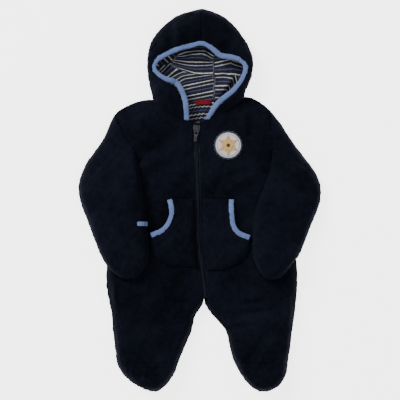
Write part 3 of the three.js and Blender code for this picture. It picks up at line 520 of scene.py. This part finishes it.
def soften(piece, folds, lift):
    """Adds the folds, the uneven filling and the nap's clumps to a plush wall."""
    mesh = piece.data
    points, outward = places(mesh), normals(mesh)
    for corner, move, reach in BLUNTED:
        near = 1 - np.hypot(points[:, 0] - corner[0], points[:, 1] - corner[1]) / reach
        points[:, :2] += np.array(move) * smooth(near)[:, None]
    if lift:
        points[:, 2] += drape(points, folds)
    else:
        points[:, 2] += folded(points, folds) * smooth((3 - points[:, 2]) / 3)
    nap = lumps(points, NAP["fine"], 12) * 0.7 + lumps(points, 2.3 * NAP["fine"], 13) * 0.6
    if not lift:
        nap *= 0.5 + 0.5 * smooth(points[:, 2] / 3)
    points += outward * (NAP["height"] * nap)[:, None]
    points[:, 2] = np.maximum(points[:, 2], 0.05)
    mesh.vertices.foreach_set("co", (points * MM).ravel())
    mesh.update()


def plush_piece(node, folds, levels, top=True):
    made, cut = closed_wall(node)
    piece = refined(f"cloth_{node}", made, levels)
    soften(piece, folds, top)
    dress(piece, node, PLUSH, "plush_navy")


def plush_pieces():
    for side in SIDES:
        plush_piece(f"hood_{side}", HOOD_FOLDS, 3)
        plush_piece(f"front_{side}", BODY_FOLDS, 3)
        plush_piece(f"back_{side}", BACK_FOLDS, 3, top=False)
        plush_piece(f"foot_upper_{side}", BODY_FOLDS, 4)
        plush_piece(f"sole_{side}", [], 3, top=False)
        plush_piece(f"sleeve_upper_{side}", SLEEVE_FOLDS, 3)
        plush_piece(f"sleeve_under_{side}", UNDER_SLEEVE_FOLDS, 3, top=False)
        plush_piece(f"mitt_palm_{side}", [], 3, top=False)
        plush_piece(f"pocket_{side}", BODY_FOLDS, 3)


# ---- striped lining -----------------------------------------------------------------------------

STRIPE = 6.3                  # from one line to the next
BACK_SEAM_X = 24
BACK_YOKE_Y = 167

# Stripe lines followed one by one: the line's number, then its route from right to left sleeve side.
# The lines of the slack that hangs from the hood's top:
HANGING_LINES = [
    (0, [(-50, 247), (-38, 247), (-24, 252), (-6, 254), (10, 254), (19, 247.5), (28, 242.5)]),
    (1, [(-50, 245), (-31, 245), (-15, 247.5), (3, 249), (12, 245.5), (20, 241.5), (28, 240)]),
    (2, [(-50, 243), (-31, 241.5), (-8, 242.3), (5, 241.6), (14, 239.5), (28, 238.5)]),
    (3, [(-50, 239.5), (-31, 237.2), (-20, 235.5), (-8, 235), (14, 235), (28, 236.2)]),
    (4, [(-50, 236.5), (-31, 231.8), (-19, 229.8), (-8, 229.2), (14, 229.8), (28, 231.8)]),
    (5, [(-50, 234), (-41, 229.2), (-30, 227.4), (-19, 224.9), (-8, 223.2), (28, 224.5)]),
    (6, [(-50, 232), (-39, 225.8), (-24, 221.3), (-10, 216.8), (3, 215.6), (28, 216.5)]),
]
# The lines of the back of the hood, right of its seam, which turn up into the corner:
BACK_LINES = [
    (1, [(-80, 204), (-68, 216), (-52, 231.5), (-40, 243), (23, 260)]),
    (2, [(-80, 196), (-60, 215), (-48, 226), (-36, 238), (23, 250)]),
    (3, [(-80, 186), (-53, 212), (-39, 222.4), (23, 240)]),
    (4, [(-80, 176), (-60, 197), (-48, 208.8), (-40, 213.4), (-30, 218), (23, 221)]),
    (6, [(-80, 166), (-60, 187), (-48, 199.6), (-33, 210.5), (-22, 213.5), (23, 217.5)]),
    (7, [(-80, 157), (-60, 178), (-44, 193), (-34, 202), (-26, 206.5), (3, 211), (23, 214)]),
    (9, [(-80, 144), (-60, 160), (-44, 180), (-34, 190), (-27, 194.7), (21, 204.9)]),
    (13, [(-80, 140), (-44, 160), (-30, 167), (-20, 171), (26, 180)]),
    (16, [(-80, 152), (-20, 156), (2, 159.5), (14, 159.5), (40, 158)]),
    (19, [(-80, 134), (-20, 137), (4, 140.5), (40, 138)]),
]
# The lines left of the seam:
LEFT_LINES = [
    (1, [(23, 227.5), (30, 228.6), (53, 233.8), (57, 231.5), (71, 227), (80, 224)]),
    (2, [(23, 222), (45, 222), (57, 223.6), (71, 221), (80, 218)]),
    (3, [(23, 214.8), (40, 215.6), (50, 214.5), (60, 214.5), (71, 212), (80, 208)]),
    (4, [(23, 208.5), (40, 209.5), (50, 208), (57, 206), (80, 196)]),
    (6, [(23, 194.5), (80, 194.5)]),
    (10, [(23, 168), (80, 168)]),
]
FOLD_X, FOLD_Y = 58.6, 213    # top of the fold that turns the left lines down to the binding


def line_number(x, y, lines):
    """Which line each point is on, read between the routes above and below it."""
    levels = [np.interp(x, *np.transpose(route)) for _, route in lines]
    number = lines[0][0] + np.minimum(0, (levels[0] - y) / STRIPE)
    for upper, lower, first, last in zip(levels, levels[1:], lines, lines[1:]):
        share = np.clip((upper - y) / np.maximum(upper - lower, 0.5), 0, 1)
        number = number + (last[0] - first[0]) * share
    return number + np.maximum(0, (levels[-1] - y) / STRIPE)


def stripe_place(points):
    """How many lines down the cloth each point lies, following the cloth where it folds."""
    x, y = points[:, 0], points[:, 1]
    slack_edge = np.interp(x, *np.transpose(HANGING_LINES[-1][1]))
    number = np.where(y > slack_edge - 1, line_number(x, y, HANGING_LINES),
                      line_number(x, y, BACK_LINES))
    ridge = 235 + 0.35 * (x + 50)
    corner = -(x + np.abs(y - ridge) * 0.71 + 46) / 8.3
    in_corner = (x < np.interp(y, [226, 233, 248], [-75, -50, -38])) & (y > ridge)
    number = np.where(in_corner, corner, number)
    number = np.where((x < -50) & (y <= ridge), line_number(x, y, BACK_LINES), number)
    turned = (x - FOLD_X + 0.5 * FOLD_Y + 0.25 * y) / 0.75
    past_fold = (x > FOLD_X - 0.5 * (FOLD_Y - y)) & (y < FOLD_Y)
    left = line_number(np.where(past_fold, FOLD_X - 0.5 * (FOLD_Y - turned), x),
                       np.where(past_fold, turned, y), LEFT_LINES)
    number = np.where((x > BACK_SEAM_X) & (y > BACK_YOKE_Y), left, number)
    number = number + np.where(y < BACK_YOKE_Y, 0.14 * np.sin(0.9 * x + 0.4 * y), 0)
    return number + 0.5, x + 0.3 * y


def crease_distance(points):
    """Distance from the seam and from the crease lines where one run of stripes passes under another: the
    lining's colour gets painted shade near them.
    """
    x, y = points[:, 0], points[:, 1]
    seam = np.where(y > BACK_YOKE_Y, np.abs(x - BACK_SEAM_X), 9)
    below = np.interp(x, *np.transpose(HANGING_LINES[-1][1])) - 1 - y
    slack = np.where((x > -46) & (x < BACK_SEAM_X), np.where(below > 0, 0.7 * below, -3 * below), 9)
    ridge = np.where(x < -47, np.abs(y - 235 - 0.35 * (x + 50)), 9)
    return np.minimum(np.minimum(seam, slack), ridge)


def write_uv(mesh, name, u, v):
    layer = mesh.uv_layers.new(name=name)
    corner = np.empty(len(mesh.loops), int)
    mesh.loops.foreach_get("vertex_index", corner)
    layer.data.foreach_set("uv", np.column_stack([u[corner], v[corner]]).ravel())


def lining_piece(node, levels):
    made, cut = closed_wall(node, 0.8)
    piece = refined(f"cloth_{node}", made, levels)
    mesh = piece.data
    points = places(mesh)
    under = smooth((14 - points[:, 2]) / 6)
    ripple = 0.5 * lumps(points, 16, 100)
    write_uv(mesh, "stripes", *stripe_place(points))
    # distance to the lines where the lining gets painted shade
    write_uv(mesh, "painted_shade", crease_distance(points), points[:, 1])
    hung = drape(points, HOOD_FOLDS) - 2.0 * (1 - under)
    points[:, 2] += under * (np.maximum(folded(points, LINING_FOLDS), -1.2) + ripple)
    points[:, 2] += (1 - under) * np.minimum(hung, 0.6)
    mesh.vertices.foreach_set("co", (points * MM).ravel())
    mesh.update()
    dress(piece, node, STRIPED, "lining_stripe")


def linings():
    for node in ("hood_lining_right", "hood_lining_left", "back_lining"):
        lining_piece(node, 4)


# ---- rib bindings -------------------------------------------------------------------------------

def spline(rows, steps):
    """Catmull-Rom through rows of points, open at both ends."""
    rows = np.array(rows, float)
    padded = np.concatenate([[2 * rows[0] - rows[1]], rows, [2 * rows[-1] - rows[-2]]])
    out = []
    for k in range(len(rows) - 1):
        a, b, c, d = padded[k:k + 4]
        for t in np.arange(steps) / steps:
            out.append(0.5 * (2 * b + (c - a) * t + (2 * a - 5 * b + 4 * c - d) * t * t
                              + (3 * b - a - 3 * c + d) * t ** 3))
    return np.array(out + [rows[-1]])


def rings_of(node, size):
    """The cross-sections of a packed strip, in order from one end to the other."""
    made = node_mesh(node)

    def flat_patch(start):
        found, queue = {start}, [start]
        while queue:
            for edge in queue.pop().edges:
                for face in edge.link_faces:
                    if face not in found and edge.calc_face_angle(0) < math.radians(4):
                        found.add(face)
                        queue.append(face)
        return found

    ends = []
    for face in made.faces:
        patch = flat_patch(face)
        corners = {vert for other in patch for vert in other.verts}
        if len(patch) == size - 2 and len(corners) == size:
            ends.append(corners)
    layer, seen, rings = ends[0], set(ends[0]), []
    while layer:
        rings.append([np.array(vert.co) for vert in layer])
        layer = {edge.other_vert(vert) for vert in layer for edge in vert.link_edges} - seen
        seen |= layer
    made.free()
    return rings


def around(ring, way):
    """A ring's points in order round its middle."""
    middle = np.mean(ring, axis=0)
    across = np.cross(way, (0, 0, 1))
    across /= np.linalg.norm(across)
    up = np.cross(across, way / np.linalg.norm(way))
    angle = [math.atan2((p - middle) @ up, (p - middle) @ across) for p in ring]
    return [ring[k] for k in np.argsort(angle)], middle


def band(name, node, size, seed, folds, puff=0.35):
    """A rib binding lofted smoothly through the strip's cross-sections."""
    rings = rings_of(node, size)
    middles = np.array([np.mean(ring, axis=0) for ring in rings])
    ways = np.gradient(middles, axis=0)
    ordered = []
    for ring, way in zip(rings, ways):
        points, middle = around(ring, way)
        ordered.append([p + puff * (p - middle) / np.linalg.norm(p - middle) for p in points])
    rows = spline(np.array(ordered).reshape(len(rings), -1), 12).reshape(-1, size, 3)
    turns = 18
    loops = []
    for row in rows:
        closed = np.concatenate([row[-1:], row, row[:2]])
        loop = []
        for k in range(turns):
            place = k * size / turns
            first = int(place)
            t = place - first
            a, b, c, d = closed[first:first + 4]
            loop.append((a * (1 - t) ** 3 + b * (3 * t ** 3 - 6 * t * t + 4)
                         + c * (-3 * t ** 3 + 3 * t * t + 3 * t + 1) + d * t ** 3) / 6)
        loops.append(loop)
    loops = np.array(loops)
    centre = loops.mean(axis=1)
    run = np.concatenate([[0], np.cumsum(np.linalg.norm(np.diff(centre, axis=0), axis=1))])
    widen = 1.12
    loops = centre[:, None] + (loops - centre[:, None]) * widen
    loops += (loops - centre[:, None]) * (0.05 * lumps(loops.reshape(-1, 3), 7, seed)
                                          ).reshape(loops.shape[0], turns, 1)
    rise = drape(centre, folds)
    loops[:, :, 2] += rise[:, None]
    return lofted(name, loops, run)


def lofted(name, loops, run):
    """A closed tube through loops of points, with its length and girth as coordinates."""
    count, turns = loops.shape[:2]
    made = bmesh.new()
    layer = made.loops.layers.uv.new("length")
    grid = [[made.verts.new(point) for point in loop] for loop in loops]
    girth = np.linalg.norm(np.diff(np.concatenate([loops[0], loops[0][:1]]), axis=0), axis=1)
    reach = np.concatenate([[0], np.cumsum(girth)])
    for i in range(count - 1):
        for k in range(turns):
            face = made.faces.new([grid[i][k], grid[i + 1][k], grid[i + 1][(k + 1) % turns],
                                   grid[i][(k + 1) % turns]])
            for corner, (row, column) in zip(face.loops, ((i, k), (i + 1, k), (i + 1, k + 1), (i, k + 1))):
                corner[layer].uv = (run[row], reach[column])
    for end in (grid[0], grid[-1]):
        made.faces.new(end)
    bmesh.ops.recalc_face_normals(made, faces=made.faces[:])
    bmesh.ops.scale(made, vec=(MM,) * 3, verts=made.verts)
    mesh = bpy.data.meshes.new(name)
    made.to_mesh(mesh)
    made.free()
    mesh.polygons.foreach_set("use_smooth", np.ones(len(mesh.polygons), bool))
    return mesh_object(name, mesh)


def bindings():
    for k, node in enumerate(["hood_binding", "pocket_binding_right", "pocket_binding_left"]):
        piece = band(f"rib_{node}", node, 6, 120 + k, BODY_FOLDS if k else HOOD_FOLDS)
        piece.data.materials.append(RIB)
        seat(piece, "rib_blue", node)


def mitt_bindings():
    """The flat rib of each hand slit, smoothed from its packed strip."""
    for k, side in enumerate(SIDES):
        node = f"mitt_binding_{side}"
        made = node_mesh(node)
        bmesh.ops.join_triangles(made, faces=made.faces[:], angle_face_threshold=0.7,
                                 angle_shape_threshold=math.pi)
        crease = made.edges.layers.float.new("crease_edge")
        for edge in made.edges:
            if edge.calc_face_angle(0) > math.radians(60):
                edge[crease] = 0.3
        piece = refined(f"rib_{node}", made, 3)
        points = places(piece.data)
        write_uv(piece.data, "length", points[:, 0] + 0.8 * points[:, 2], points[:, 1])
        piece.data.vertices.foreach_set("co", (points * MM).ravel())
        piece.data.update()
        piece.data.polygons.foreach_set("use_smooth", np.ones(len(piece.data.polygons), bool))
        piece.data.materials.append(RIB)
        seat(piece, "rib_blue", node)


# ---- zip ----------------------------------------------------------------------------------------

COIL = {"pitch": 1.35, "wire": 0.42, "half": 2.1, "rise": 0.55}


def zip_line():
    """The middle of the zip's teeth from top to bottom: x, y and the height of their top."""
    levels = {}
    for side in SIDES:
        made = node_mesh(f"zip_teeth_{side}")
        for vert in made.verts:
            levels.setdefault(round(vert.co.y, 1), []).append(vert.co.copy())
        made.free()
    rows = [(np.mean([p.x for p in levels[y]]), y, max(p.z for p in levels[y]))
            for y in sorted(levels, reverse=True)]
    return np.array(rows)


def tubes(name, paths, radius, sides=6):
    """Short wires of one radius along lists of points."""
    made = bmesh.new()
    for path in paths:
        path = np.array(path, float)
        ways = np.gradient(path, axis=0)
        rings = []
        for point, way in zip(path, ways):
            way = way / np.linalg.norm(way)
            side = np.cross(way, (0, 1, 0))
            side /= np.linalg.norm(side)
            up = np.cross(side, way)
            rings.append([made.verts.new(point + radius * (side * math.cos(a) + up * math.sin(a)))
                          for a in 2 * math.pi * np.arange(sides) / sides])
        for first, second in zip(rings, rings[1:]):
            for k in range(sides):
                made.faces.new([first[k], first[(k + 1) % sides], second[(k + 1) % sides], second[k]])
        made.faces.new(rings[0])
        made.faces.new(rings[-1])
    bmesh.ops.recalc_face_normals(made, faces=made.faces[:])
    bmesh.ops.scale(made, vec=(MM,) * 3, verts=made.verts)
    mesh = bpy.data.meshes.new(name)
    made.to_mesh(mesh)
    made.free()
    mesh.polygons.foreach_set("use_smooth", np.ones(len(mesh.polygons), bool))
    return mesh_object(name, mesh)


def zip_teeth():
    line = zip_line()
    top, bottom = line[0][1] - 1, line[-1][1] + 1
    for k, side in enumerate(SIDES):
        sign = -1 if side == "right" else 1
        paths = []
        for y in np.arange(top - 0.5 * k * COIL["pitch"], bottom, -COIL["pitch"]):
            x = np.interp(-y, -line[:, 1], line[:, 0])
            z = np.interp(-y, -line[:, 1], line[:, 2]) - COIL["wire"]
            apart = 1.3 * smooth(np.array((y - 116) / 8.0)).item()
            reach = x + sign * (COIL["half"] + apart)
            inner = x + sign * (apart - 0.35)
            paths.append([(reach, y - 0.1, z - 1.1), (reach + sign * 0.25, y, z - 0.5),
                          (reach - sign * 0.3, y + 0.05, z), (inner, y + 0.15, z + 0.05),
                          (inner - sign * 0.25, y + 0.25, z - 0.5)])
        piece = tubes(f"coil_{side}", paths, COIL["wire"])
        piece.data.materials.append(TEETH)
        seat(piece, "zip_teeth", f"zip_teeth_{side}")


def zip_tapes():
    for side in SIDES:
        node = f"zip_tape_{side}"
        made, cut = closed_wall(node, 0.15)
        piece = refined(f"cloth_{node}", made, 3)
        points = places(piece.data)
        points[:, 2] += 0.12 * lumps(points, 12, 140)
        piece.data.vertices.foreach_set("co", (points * MM).ravel())
        piece.data.update()
        dress(piece, node, TAPE, "zip_tape")


def metalwork():
    """The slider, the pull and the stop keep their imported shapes, with worn edges."""
    for node in ("zip_slider", "zip_pull", "zip_stop"):
        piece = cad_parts[node]
        piece.data.materials.clear()
        piece.data.materials.append(METAL)
        edge = piece.modifiers.new("edge", "BEVEL")
        edge.width = 0.28 * MM
        edge.segments = 2
        edge.angle_limit = math.radians(35)


# ---- label and patch ----------------------------------------------------------------------------

def neck_label():
    """A bare satin label, sewn down at both ends."""
    low, high = [np.array(corner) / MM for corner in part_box("neck_label")]
    made = bmesh.new()
    columns, rows = 44, 14
    for i in range(rows + 1):
        for j in range(columns + 1):
            u, v = j / columns, i / rows
            x = low[0] + u * (high[0] - low[0])
            y = low[1] + v * (high[1] - low[1]) + 0.7 * math.sin(math.pi * u) + 0.5 * u
            ends = min(1, 6 * u, 6 * (1 - u))
            z = low[2] + 0.1 + 0.8 * ends + 0.22 * math.sin(7 * u + 2 * v)
            made.verts.new((x * MM, y * MM, z * MM))
    made.verts.ensure_lookup_table()
    for i in range(rows):
        for j in range(columns):
            a = i * (columns + 1) + j
            made.faces.new([made.verts[k] for k in (a, a + 1, a + columns + 2, a + columns + 1)])
    mesh = bpy.data.meshes.new("label")
    made.to_mesh(mesh)
    made.free()
    piece = mesh_object("label", mesh)
    wall = piece.modifiers.new("wall", "SOLIDIFY")
    wall.thickness = 0.45 * MM
    dress(evaluated(piece), "neck_label", LABEL, "label_red")


def patch_base(centre, radius):
    """A smooth sheet just over the finished left front, as its height at points of the plan."""
    front = bpy.data.objects["cloth_front_left"]
    plan, heights = [], []
    for x in np.linspace(-radius, radius, 13):
        for y in np.linspace(-radius, radius, 13):
            place = ((centre[0] + x) * MM, (centre[1] + y) * MM, 0.1)
            hit, where, _, _ = front.ray_cast(place, (0, 0, -1))
            if hit:
                plan.append((x, y))
                heights.append(where.z / MM)

    def terms(points):
        x, y = np.transpose(points)
        return np.column_stack([np.ones(len(x)), x, y, x * x, x * y, y * y])

    fit = np.linalg.lstsq(terms(plan), np.array(heights), rcond=None)[0]
    return lambda points: terms(points - centre) @ fit + 0.3


def pad(name, outline, thick, edge, material, centre, base, under):
    """A raised shape of stitches over an outline: domed, with its rim drawn down."""
    outline = np.array(outline, float)
    rings = [0.0, 0.3, 0.55, 0.75, 0.88, 0.96, 1.0]
    middle = outline.mean(axis=0)
    made = bmesh.new()
    rows = []
    for ring in rings[1:]:
        plan = middle + (outline - middle) * ring + centre
        drop = thick * (1 - math.sqrt(max(0, 1 - max(0, (ring - edge) / (1 - edge)) ** 2)))
        heights = under(plan) + base + thick - drop
        rows.append([made.verts.new((x * MM, y * MM, z * MM)) for (x, y), z in zip(plan, heights)])
    x, y = middle + centre
    z = under(np.array([(x, y)]))[0] + base + thick
    top = made.verts.new((x * MM, y * MM, z * MM))
    count = len(outline)
    for k in range(count):
        made.faces.new([top, rows[0][k], rows[0][(k + 1) % count]])
        for inner, outer in zip(rows, rows[1:]):
            made.faces.new([inner[k], outer[k], outer[(k + 1) % count], inner[(k + 1) % count]])
    skirt = [made.verts.new(vert.co - vert.co * 0 + type(vert.co)((0, 0, -(base + 0.3) * MM)))
             for vert in rows[-1]]
    for k in range(count):
        made.faces.new([rows[-1][k], skirt[k], skirt[(k + 1) % count], rows[-1][(k + 1) % count]])
    made.faces.new(skirt)
    bmesh.ops.recalc_face_normals(made, faces=made.faces[:])
    mesh = bpy.data.meshes.new(name)
    made.to_mesh(mesh)
    made.free()
    mesh.polygons.foreach_set("use_smooth", np.ones(len(mesh.polygons), bool))
    mesh.materials.append(material)
    return mesh_object(name, mesh)


def circle(radius, count=72, wave=0.0, petals=0):
    angle = 2 * math.pi * np.arange(count) / count
    reach = radius + wave * np.cos(petals * angle)
    return np.column_stack([reach * np.cos(angle), reach * np.sin(angle)])


def leaf(length, width, turn, count=28):
    angle = 2 * math.pi * np.arange(count) / count
    plan = np.column_stack([length / 2 * np.cos(angle),
                            width / 2 * np.sin(angle) * (1 - 0.35 * np.cos(angle))])
    spin = np.array([[math.cos(turn), math.sin(turn)], [-math.sin(turn), math.cos(turn)]])
    return plan @ spin


def badge():
    """A plain round patch of the maker's own: a gold blossom over leaves, inside a scalloped rim."""
    low, high = [np.array(corner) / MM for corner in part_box("badge")]
    centre = ((low + high) / 2)[:2]
    radius = (high[0] - low[0]) / 2
    under = patch_base(centre, radius - 2)
    rim = pad("patch_rim", circle(radius - 0.6, 120, 0.6, 20), 1.2, 0.86, NAVY_THREAD, centre, 0.2, under)
    seat(rim, "patch", "badge")
    parts = [
        pad("patch_ground", circle(radius - 2.9, 96), 1.0, 0.9, PALE_THREAD, centre, 0.7, under),
        pad("patch_ring", circle(radius - 4.9, 90), 0.3, 0.97, BLUE_THREAD, centre, 1.5, under),
        pad("patch_field", circle(radius - 6.0, 90), 0.4, 0.95, PALE_THREAD, centre, 1.6, under),
    ]
    for k in range(6):
        turn = 2 * math.pi * k / 6 + math.pi / 6
        way = np.array([math.cos(turn), math.sin(turn)])
        parts.append(pad(f"patch_leaf_{k}", leaf(12.5, 6.4, turn), 0.8, 0.4, ROSE_THREAD,
                         centre + 11.8 * way, 1.8, under))
    for k in range(6):
        turn = 2 * math.pi * k / 6
        way = np.array([math.cos(turn), math.sin(turn)])
        parts.append(pad(f"patch_petal_{k}", leaf(11.5, 7.6, turn), 1.1, 0.3, GOLD_THREAD,
                         centre + 6.2 * way, 2.1, under))
    parts.append(pad("patch_heart", circle(3.4, 28), 1.0, 0.2, NAVY_THREAD, centre, 2.7, under))
    for piece in parts:
        seat(piece, "patch")


# ---- stage --------------------------------------------------------------------------------------

def floor():
    made = bmesh.new()
    bmesh.ops.create_grid(made, x_segments=8, y_segments=8, size=3)
    mesh = bpy.data.meshes.new("floor")
    made.to_mesh(mesh)
    made.free()
    piece = mesh_object("floor", mesh)
    piece.location.z = -0.2 * MM
    finish = Finish("floor")
    tone = finish.ramp(finish.noise(400, 2), [(0.3, (0.86, 0.86, 0.86)), (0.7, (0.88, 0.88, 0.88))])
    finish.set(Base_Color=tone, Roughness=0.9, Specular_IOR_Level=0.1,
               Emission_Color=(1, 1, 1, 1), Emission_Strength=3.2)
    mesh.materials.append(finish.material)


def lamp(name, place, size, power):
    data = bpy.data.lights.new(name, "AREA")
    data.size = size
    data.energy = power
    lamp_object = bpy.data.objects.new(name, data)
    lamp_object.location = place
    bpy.context.scene.collection.objects.link(lamp_object)
    lamp_object.rotation_euler = (-lamp_object.location).to_track_quat("-Z", "Y").to_euler()


def studio():
    floor()
    lamp("key", (-3.4, 3.4, 3.05), 2.15, 480)
    lamp("fill", (2.9, -0.7, 4.0), 3.6, 79)
    lamp("front", (0.2, -3.8, 2.35), 2.9, 46)
    world = bpy.data.worlds.new("studio")
    world.use_nodes = True
    world.node_tree.nodes["Background"].inputs["Color"].default_value = (1, 1, 1, 1)
    world.node_tree.nodes["Background"].inputs["Strength"].default_value = 0.55
    bpy.context.scene.world = world


def camera():
    """Straight down over the middle, with the shirt's 0.68 m field filling the frame."""
    data = bpy.data.cameras.new("camera")
    data.sensor_width = 36
    distance, field = 2.5, 0.68
    data.lens = data.sensor_width * distance / field
    eye = bpy.data.objects.new("camera", data)
    eye.location = (0, 0, distance + 0.02)
    bpy.context.scene.collection.objects.link(eye)
    bpy.context.scene.camera = eye


camera()
plush_pieces()
linings()
bindings()
mitt_bindings()
zip_tapes()
zip_teeth()
metalwork()
neck_label()
badge()
studio()
